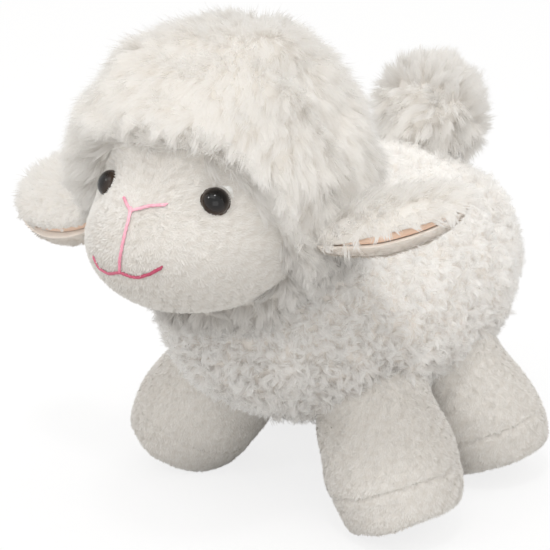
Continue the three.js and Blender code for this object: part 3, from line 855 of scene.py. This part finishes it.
inner = EYE_RADIUS - EYE_RIM
rim = [(0, -EYE_BACK), (inner, -EYE_BACK), (EYE_RADIUS, -EYE_BACK / 2), (EYE_RADIUS, 0.0), (inner, DOME_FOOT)]
dome = [(inner * math.cos(a), DOME_FOOT + (EYE_HEIGHT - DOME_FOOT) * math.sin(a))
        for a in np.linspace(0.06, math.pi / 2, 14)]
for side, word in ((1, "left"), (-1, "right")):
    seat = seat_on(bare_head, EYE_SEATS[side] - unit(EYE_SEATS[side]) * EYE_SINK, HEAD)
    eye = turned(f"eye_{word}_dome", rim + dome, seat)
    mark_middle(eye, seat)
    dress(eye, "head", eye_plastic, "eye_plastic", f"eye_{word}")

# %% [markdown]
# ## Embroidery
# The nose is a Y of pink thread and the smile a rose line. Each is sewn in short overlapping stitches
# that slant a little, one way and the other. One stitch is a small spindle, repeated along the line.

# %% Sew the nose and the smile
STITCH_LENGTH = 2.6
STITCH_RADIUS = 0.44
STITCH_STEP = 0.62
STITCH_SLANT = 13.0
SLANT_SPREAD = 4
STITCH_FLATTEN = 0.7
STITCH_CLEAR = 0.1
STITCH_LIFT = 0.25
SHADE_SPREAD = 0.08
NOSE_LINES = [
    [(8.9, 3.1), (5, 2.7), (2.2, 1.8), (-0.4, 1)],
    [(-4.6, 3.3), (-2.4, 2.1), (-0.4, 1)],
    [(-0.4, 1.2), (0.3, -1.5), (0.5, -5), (0.2, -9), (-0.5, -12.8), (-1, -16)],
]
NOSE_SHADES = [(0.35, 0.1), (0.6, 0.2), (0.05, 0.95)]
SMILE = [(-12.6, -14.6), (-11, -17), (-6.2, -17.6), (-1, -15.9), (2.2, -16.6), (4.8, -16.8), (8.9, -15.2),
         (12.2, -13.2)]
SMILE_SHADES = (0.35, 1.0)


def thread_material(name, light, dark):
    """Thread with a tint of its own for each stitch, a little darker towards one end of it."""
    recipe = Recipe(name)
    tint, along = recipe.marks()
    base = recipe.mix(tint * 0.9 + along * 0.1, light, dark)
    return recipe.finish(Base_Color=base, Roughness=0.55, Sheen_Weight=0.2)


def on_face(across, up):
    """The place on the face at a distance across and up from its middle, seen from the front."""
    place = np.array([across, NOSE_TIP[1], up])
    for _ in range(20):
        found = on_skin(head_reach, place[None])[0]
        place = np.array([across, found[1], up])
    return place


def face_line(points, step):
    """A smooth line over the face through points, in even steps."""
    knots = np.array(points, float)
    share = np.append(0, np.cumsum(np.linalg.norm(np.diff(knots, axis=0), axis=1)))
    fine = np.linspace(0, share[-1], 80)
    bend = np.stack([np.interp(fine, share, knots[:, i]) for i in (0, 1)], 1)
    for _ in range(8):
        bend[1:-1] = (bend[:-2] + 2 * bend[1:-1] + bend[2:]) / 4
    route = np.array([on_face(*point) for point in bend])
    run = np.append(0, np.cumsum(np.linalg.norm(np.diff(route, axis=0), axis=1)))
    even = np.arange(0, run[-1], step)
    return np.stack([np.interp(even, run, route[:, i]) for i in range(3)], 1)


def embroider(name, lines, shades, material, slot, node, dice):
    """Stitches along lines on the face, as one piece. Shades are each line's tints, from start to end."""
    rows, sides = 7, 8
    t = np.linspace(-1, 1, rows)
    girth = STITCH_RADIUS * np.sqrt(1 - (t * 0.96) ** 2)
    angle = turns(sides)
    corners, uvs, faces = [], [], []
    for line, (first_shade, last_shade) in zip(lines, shades):
        ahead = unit(np.gradient(line, axis=0))
        normals = facing(head_reach, unit(line))[0]
        for i, (point, normal, way) in enumerate(zip(line, normals, ahead)):
            slant = STITCH_SLANT * (-1) ** i + dice.normal(0, SLANT_SPREAD)
            way = rotation(normal, slant) @ way
            side = np.cross(normal, way)
            ring = np.cos(angle)[:, None] * side + np.sin(angle)[:, None] * normal * STITCH_FLATTEN
            lift = STITCH_LIFT + STITCH_LIFT * (1 - t ** 2)
            spindle = point + normal * STITCH_CLEAR + t[:, None] * way * STITCH_LENGTH / 2 + lift[:, None] * normal
            spindle = spindle[:, None] + girth[:, None, None] * ring[None]
            first = len(corners) * rows * sides
            corners.append(spindle.reshape(-1, 3))
            shade = first_shade + (last_shade - first_shade) * i / len(line)
            tint = min(max(shade + dice.normal(0, SHADE_SPREAD), 0.01), 0.99)
            uvs.append([(tint, (v + 1) / 2) for v in t for _ in range(sides)])
            for row in range(rows - 1):
                for k in range(sides):
                    a, b = first + row * sides + k, first + row * sides + (k + 1) % sides
                    faces.append((a, b, b + sides, a + sides))
            faces.append(tuple(range(first, first + sides)))
            faces.append(tuple(range(first + rows * sides - 1, first + (rows - 1) * sides - 1, -1)))
    mesh = bpy.data.meshes.new(name)
    mesh.from_pydata((HEAD.out(np.concatenate(corners)) * MM).tolist(), [], faces)
    flat_uv = np.concatenate(uvs)
    layer = mesh.uv_layers.new(name=PILE_UV)
    index = np.zeros(len(mesh.loops), np.int32)
    mesh.loops.foreach_get("vertex_index", index)
    layer.data.foreach_set("uv", flat_uv[index].ravel())
    mesh.shade_smooth()
    dress(link(name, mesh), "head", material, slot, node)
    print(name, "stitches:", len(corners))


dice = np.random.default_rng(14)
pink = thread_material("nose_thread", colour(253, 202, 215), colour(234, 124, 156))
rose = thread_material("mouth_thread", colour(226, 132, 156), colour(182, 58, 92))
nose_lines = [face_line(points, STITCH_STEP) for points in NOSE_LINES]
embroider("nose_embroidery", nose_lines, NOSE_SHADES, pink, "nose_thread", "nose_stitching", dice)
embroider("mouth_embroidery", [face_line(SMILE, STITCH_STEP)], [SMILE_SHADES], rose, "mouth_thread",
          "mouth_stitching", dice)

# %% [markdown]
# ## Ears
# An ear is two leaves sewn together: wool above, smooth cloth below. It opens a little along its front
# edge, so that a rolled lip of lining shows under the wool, with a peach piece in the gap that is painted
# shade, the warm shade inside the fold. A flat lip would look like piping. Each of the three pieces is a
# dish over one oval outline, given by how far along the ear and how far across it a point is. The ears
# hang differently, so each has its own turns and gap.

# %% Describe the ears
EAR_LENGTH = 50.0
EAR_WIDTH = 30.0
EAR_INSET = 5.0
EAR_WOOL = 5.5
EAR_LINING = 5.0
EAR_GAP = 2.8
EAR_LIP = 2.0
LIP_SQUARE = 14
INSIDE_ROOM = 0.05
INSIDE_SHARE = 0.97
# side and front: which way an ear points and opens. around, roll and droop: its turns, in degrees. lip: how
# far the lining hangs out. open: where along the ear the gap is shut and full. hang and edge: how far the
# wool falls over the edges, and how much longer it is at the open one.
EARS = {
    "left": {"side": 1, "front": -1, "around": 8.0, "roll": 8.0, "droop": -16.0, "lip": 2.2, "open": (0.25, 0.6),
             "hang": 2.2, "edge": 0.05},
    "right": {"side": -1, "front": 1, "around": 182.0, "roll": -42.0, "droop": 14.0, "lip": 7.0, "open": (0.95, 0.6),
              "hang": 0.2, "edge": -0.4},
}
# Each face of the three pieces of an ear: its height over the seam, and its share of the open gap
EAR_FACES = {"wool_out": (EAR_WOOL, 0.5), "wool_in": (0.5, 0.5), "lining_in": (-1.2, -0.4),
             "lining_out": (-EAR_LINING, -0.5), "inside_over": (0.3, 0.5), "inside_under": (-1, -0.4)}


def ear_place(word):
    ear = EARS[word]
    turn = rotation(Z_AXIS, ear["around"]) @ rotation(X_AXIS, ear["roll"]) @ rotation(Y_AXIS, ear["droop"])
    return Place(pivot(f"ear_{word}_flap"), HEAD.turn @ turn)


def leaf(along, across, kind, ear):
    """Points of a leaf at shares of its length, from 0 to 1, and of its half width, from -1 to 1."""
    round_off = np.sqrt(np.clip(1 - (2 * along - 1) ** 2, 0, None)) ** 0.9
    x = along * EAR_LENGTH - EAR_INSET
    y = across * EAR_WIDTH / 2 * round_off
    ahead = (1 + ear["front"] * across) / 2
    front_edge = round_off * ahead ** 2
    opening = front_edge * smooth(*ear["open"], along)
    arch = np.sqrt(np.clip(1 - across ** 2, 0, None)) ** 1.2 * round_off
    height, gap_share = EAR_FACES[kind]
    gap = EAR_GAP * gap_share
    if kind.startswith("inside"):
        gap -= INSIDE_ROOM * np.sign(gap_share)
        x, y = x * INSIDE_SHARE, y * INSIDE_SHARE
    z = height * arch + gap * opening
    if kind == "lining_out":
        z = z - ear["lip"] * np.sqrt(1 - ahead ** LIP_SQUARE) * front_edge
    if kind.startswith("lining"):
        y = y + ear["front"] * EAR_LIP * front_edge
    return np.stack(np.broadcast_arrays(x, y, z), -1)


def leaf_piece(name, outer, inner, place, ear, rows=48, columns=36):
    """A closed leaf: its outer face, and its inner face turned back under it."""
    along = (1 - np.cos(np.linspace(0, math.pi, rows))) / 2
    across = np.cos(np.linspace(math.pi, 0, columns))
    over = leaf(along[:, None], across[None], outer, ear)
    under = leaf(along[:, None], across[None, ::-1], inner, ear)
    points = np.concatenate([over, under], 1)
    return grid_mesh(name, place.out(points))


# %% Sew the ears and grow their wool
CLOTH = {"Roughness": 0.9, "Sheen_Weight": 0.3, "Specular_IOR_Level": 0.2}
lining_cloth = grained_material("ear_cloth", 120.0, colour(230, 220, 210), colour(238, 232, 224), **CLOTH)
# The peach is painted shade: the warm shade inside the ear's gap.
gap_shade_cloth = grained_material("ear_inside_cloth", 200.0, colour(238, 204, 180), colour(244, 220, 202), **CLOTH)
EAR_FLEECE = Coat(spacing=1.8, strands=24, length=6.5, lean=(45, 80), width=0.25, curl=25, stray=14, swirl=9.0,
                  lift=4.0, clump=0.2)
EAR_NAP = Coat(spacing=0.5, strands=1, length=1.4, lean=(50, 75), width=0.26, stray=14, lift=6, clump=0, steps=2,
               soften=1.5, clear=False, mottle=3.0)
LEAF_TRIES = 40000


def sow_leaf(kind, spacing, ear, dice):
    """Places on one face of a leaf, and which way it faces there."""
    along = dice.uniform(0.02, 0.995, LEAF_TRIES)
    across = dice.uniform(-0.999, 0.999, LEAF_TRIES)
    step = 1e-3
    point = leaf(along, across, kind, ear)
    run = leaf(along + step, across, kind, ear) - point
    over = leaf(along, across + step * np.where(across > 0, -1, 1), kind, ear) - point
    over *= np.where(across > 0, -1, 1)[:, None]
    normal = np.cross(run, over)
    area = np.linalg.norm(normal, axis=1) / step ** 2
    total = np.cumsum(area)
    leaf_area = area.mean() * 1.98 * 0.975  # the mean is for a unit of across and of along
    count = int(leaf_area / spacing ** 2)
    picked = np.searchsorted(total, (np.arange(count) + 0.5) / count * total[-1])
    normal = unit(normal[picked])
    if kind.startswith("lining"):
        normal = -normal
    return point[picked], normal


for word, ear in EARS.items():
    place = ear_place(word)
    dice = np.random.default_rng(20 + ear["side"])
    upper = leaf_piece(f"ear_{word}_upper", "wool_out", "wool_in", place, ear)
    dress(upper, f"ear_{word}", wool_backing, "wool", f"ear_outer_{word}")
    # The inside piece carries the painted peach shade of the gap.
    inside = leaf_piece(f"ear_{word}_inside", "inside_over", "inside_under", place, ear)
    dress(inside, f"ear_{word}", gap_shade_cloth, "lining")
    lower = leaf_piece(f"ear_{word}_lower", "lining_out", "lining_in", place, ear)
    dress(lower, f"ear_{word}", lining_cloth, "lining", f"ear_lining_{word}")
    places, normals = sow_leaf("wool_out", EAR_FLEECE.spacing, ear, dice)
    out_share = places[:, 1:2] / (EAR_WIDTH / 2)
    to_tip = X_AXIS + 0.9 * out_share * Y_AXIS - ear["hang"] * out_share ** 2 * Z_AXIS
    by_slit = smooth(*ear["open"], places[:, 0] / EAR_LENGTH)
    shorter = (ear["edge"] - 0.4 * by_slit) * smooth(-0.2, 0.8, ear["front"] * out_share[:, 0])
    grow(f"ear_{word}_wool", EAR_FLEECE, place, places, normals, to_tip, None, dice,
         (f"ear_{word}", wool_pile, "wool"), length=1 + shorter)
    places, normals = sow_leaf("lining_out", EAR_NAP.spacing, ear, dice)
    grow(f"ear_{word}_nap", EAR_NAP, place, places, normals, X_AXIS + places * 0, None, dice,
         (f"ear_{word}", lining_pile, "lining"))

# %% [markdown]
# ## Tail
# The tail is a pompom: a ball whose long pile stands nearly straight out, so that its outline is all
# spikes. It is parted round the middle, and falls upwards above that line and downwards below it.

# %% Sew the tail
TAIL_RADIUS = 17.0
TAIL_SINK = 2.0
TAIL_BACKING = 1.5
tail_side = axis("tail_wag")
tail_up = np.cross(X_AXIS, tail_side)
TAIL = Place(pivot("tail_wag") + tail_up * (TAIL_RADIUS - TAIL_SINK), np.stack([X_AXIS, tail_side, tail_up], 1))
PARTING = unit(np.array([0.0, 0.45, 1.0]))
BARE_FOOT = 0.6
POMPOM = Coat(spacing=2.0, strands=34, length=8.5, lean=(8, 52), width=0.25, curl=20, stray=16, swirl=14.0,
              clump=0.4)


def tail_reach(directions):
    points = directions * TAIL_RADIUS
    return TAIL_RADIUS - TAIL_BACKING + 0.6 * ripple(points, 14, 5)


tail_skin = star_skin("tail_skin", tail_reach, TAIL, 64, 48)
dress(tail_skin, "tail", wool_backing, "wool", "tail_cover")
dice = np.random.default_rng(15)
places, normals = sow(tail_reach, POMPOM.spacing, lambda p: p[:, 2] > -TAIL_RADIUS * BARE_FOOT, dice)
from_parting = np.where(places @ PARTING > 0, 1, -1)[:, None] * PARTING
grow("tail_wool", POMPOM, TAIL, places, normals, from_parting + 0.02 * places, tail_reach, dice,
     ("tail", wool_pile, "wool"))

# %% [markdown]
# ## Legs
# A leg is a sleeve of velboa that widens from the hip to a broad foot, closed by a separate rounded sole.
# Seen from the hip, the sleeve and the sole are each one distance, and the nearer of the two is the skin.
# The seam between them draws the cloth in, so it is a shallow groove with the two edges standing up beside
# it. Rings of the mesh lie close together there, because the groove is narrow.

# %% Describe a leg
LEG_RADIUS = 19.0
LEG_FLARE = 0.17
LEG_LENGTH = 38.9
LEG_SPLAY = 28.8
LEG_RAKE = 9.0
SOLE_SPLAY = 22.9
SOLE_RAKE = 1.9
SOLE_ROUND = 34.0
SOLE_DEPTH = 12.0
LEAST_SLOPE = 0.05
SEAM_DEPTH = 0.8
SEAM_HALF = 0.6
SEAM_RIDGE = 0.15
RIDGE_OUT, RIDGE_HALF = 2.2, 1.4
LEGS = [(f"{end}_{side}", x, y) for end, y in (("front", -1), ("rear", 1))
        for side, x in (("left", 1), ("right", -1))]


def leaning(side, end, splay, rake):
    """Downwards, but splayed to the leg's own side and raked to its own end."""
    splay, rake = math.radians(splay), math.radians(rake)
    return unit(np.array([side * math.sin(splay), end * math.sin(rake), -math.cos(splay)]))


def leg_form(side, end):
    """The plain skin of a leg, its skin with the seam sewn, and the way that its sole faces."""
    way = leaning(side, end, LEG_SPLAY, LEG_RAKE)
    sole_way = leaning(side, end, SOLE_SPLAY, SOLE_RAKE)

    def plain(directions):
        along = directions @ way
        across = np.sqrt(np.clip(1 - along ** 2, 0, None))
        slope = np.where(along > 0, np.maximum(across - LEG_FLARE * along, LEAST_SLOPE), 1)
        sole = LEG_LENGTH / np.maximum(directions @ sole_way, LEAST_SLOPE)
        return soft_min(LEG_RADIUS / slope, sole, SOLE_ROUND)

    def sewn(directions):
        skin = plain(directions)
        from_seam = skin * (directions @ sole_way) - LEG_LENGTH + SOLE_DEPTH
        groove = -SEAM_DEPTH * np.exp(-(from_seam / SEAM_HALF) ** 2)
        ridge = SEAM_RIDGE * np.exp(-((np.abs(from_seam) - RIDGE_OUT) / RIDGE_HALF) ** 2)
        return skin + groove + ridge + 0.25 * ripple(directions * skin[:, None], 18, 6)

    return plain, sewn, sole_way


# %% Sew the legs
LEG_COLUMNS = 96
LEG_AROUNDS = turns(LEG_COLUMNS)
HALVINGS = 24


def seam_angles(plain, sole_way, start):
    """The angle from the sole's middle at which each column meets the seam, found by halving."""
    low, high = np.zeros(LEG_COLUMNS), np.full(LEG_COLUMNS, math.pi / 2)
    for _ in range(HALVINGS):
        middle = (low + high) / 2
        height = plain(polar(middle, LEG_AROUNDS, sole_way, start)) * np.cos(middle)
        in_sole = height > LEG_LENGTH - SOLE_DEPTH
        low, high = np.where(in_sole, middle, low), np.where(in_sole, high, middle)
    return middle


LEG_NAP = replace(NAP, spacing=0.42, length=1.2, width=0.25)
HIDDEN_HIP = 14.0
for number, (name, side, end) in enumerate(LEGS):
    place = Place(pivot(f"{name}_leg_swing"), np.eye(3))
    body = f"leg_{name}"
    plain, sewn, sole_way = leg_form(side, end)
    start = unit(np.cross(Y_AXIS, sole_way))
    seam = seam_angles(plain, sole_way, start)
    share = np.linspace(0, 1, 90)[:, None]
    sleeve_opens, sole_opens = seam + (math.pi - seam) * share ** 2, seam * (1 - share[::2] ** 2)
    cover = skin_mesh(f"leg_{name}_skin", place, sewn, polar(sleeve_opens, LEG_AROUNDS, sole_way, start))
    dress(cover, body, velboa, "velboa", f"leg_cover_{name}")
    sole = skin_mesh(f"sole_{name}_skin", place, sewn, polar(sole_opens, LEG_AROUNDS, sole_way, start))
    dress(sole, body, velboa, "velboa", f"sole_{name}")
    dice = np.random.default_rng(30 + number)
    places, normals = sow(sewn, LEG_NAP.spacing / math.sqrt(DENSITY), lambda p: p[:, 2] < HIDDEN_HIP, dice)
    grow(f"leg_{name}_nap", LEG_NAP, place, places, normals, np.tile(-Z_AXIS, (len(places), 1)), sewn, dice,
         (body, nap_pile, "velboa"))
    print(name, "seam angles:", np.degrees(seam).min().round(1), "to", np.degrees(seam).max().round(1))

# %% [markdown]
# ## Hidden pieces
# The filling and the washers behind the eyes are whole in the solids. They keep their shape and only get
# their own finish.

# %% Finish the hidden pieces
washer_plastic = grained_material("washer_plastic", 800.0, colour(236, 236, 234), colour(246, 246, 244),
                                  Roughness=0.45)
for name, node in frame["nodes"].items():
    if "stuffing" in name or "washer" in name:
        node.data.materials.clear()
        node.data.materials.append(fibre if "stuffing" in name else washer_plastic)

# %% [markdown]
# ## Floor and light
# The photograph's ground is white and nearly without shadow. The floor glows a little for the camera
# only, so that it is white and a soft shadow still shows. The light is even: a bright surround, large
# lamps at the front left, at the right, behind and low in front, and two small ones for the glints in the
# eyes. They are weak, because white wool clips to a flat white before anything else does.

# %% Lay the floor and hang the lamps
FLOOR_SIZE = 8.0
GLOW_SHARE = 0.8
SURROUND = 0.78
WARM_WHITE = (1.0, 0.985, 0.97, 1)
PURE_WHITE = (1, 1, 1, 1)
bpy.context.scene.view_settings.view_transform = "Standard"


def white_where_seen(recipe, output, lit, seen):
    """Feeds one shader to the light, and another to what the camera sees, straight or in gloss or glass."""
    path = recipe.node("ShaderNodeLightPath")
    rays = 0.0
    for kind in ("Camera", "Glossy", "Transmission"):
        ray = Amount(recipe, path.outputs[f"Is {kind} Ray"])
        rays = recipe.out("ShaderNodeMath", {"operation": "MAXIMUM"}, {0: rays, 1: ray})
    recipe.feed(output, recipe.out("ShaderNodeMixShader", None, {0: rays, 1: lit, 2: seen}))


floor_mesh = bpy.data.meshes.new("floor")
half = FLOOR_SIZE / 2
floor_mesh.from_pydata([(-half, -half, 0), (half, -half, 0), (half, half, 0), (-half, half, 0)], [], [(0, 1, 2, 3)])
floor = link("floor", floor_mesh)
paper = Recipe("floor_paper")
paper.finish(Base_Color=colour(208, 207, 205), Roughness=0.9, Specular_IOR_Level=0.0)
glow = paper.out("ShaderNodeEmission", None, {"Color": PURE_WHITE, "Strength": 1.0})
white = paper.out("ShaderNodeBsdfDiffuse", None, {"Color": colour(250, 250, 250)})
seen_floor = paper.out("ShaderNodeMixShader", None, {0: GLOW_SHARE, 1: white, 2: glow})
white_where_seen(paper, paper.output, paper.lit, seen_floor)
floor.data.materials.append(paper.material)

world = bpy.data.worlds.new("surround")
bpy.context.scene.world = world
world.use_nodes = True
surround = world.node_tree.nodes["Background"]
surround.inputs["Color"].default_value = WARM_WHITE
surround.inputs["Strength"].default_value = SURROUND
sky = Recipe("surround", world.node_tree)
seen_world = sky.out("ShaderNodeBackground", None, {"Color": PURE_WHITE, "Strength": 1.0})
white_where_seen(sky, world.node_tree.nodes["World Output"].inputs[0], Amount(sky, surround.outputs[0]), seen_world)


def lamp(name, azimuth, elevation, distance, size, watts):
    """A square lamp that faces the toy."""
    light = link(name, bpy.data.lights.new(name, "AREA"))
    light.data.size = size
    light.data.energy = watts
    direction = view_back(azimuth, elevation)
    light.location = VIEW_TARGET + direction * distance
    light.rotation_euler = direction.to_track_quat("Z", "Y").to_euler()


lamp("front_left_lamp", 15, 62, 1.5, 0.9, 2.3)
lamp("right_lamp", 110, 50, 1.6, 0.9, 2.2)
lamp("rear_lamp", 235, 50, 1.6, 0.9, 2.5)
lamp("low_front_lamp", 42, 8, 1.5, 1.0, 2.6)
lamp("spark_lamp_high", 36, 66, 1.2, 0.14, 2.4)
lamp("spark_lamp_low", -20, 42, 1.2, 0.12, 1.2)
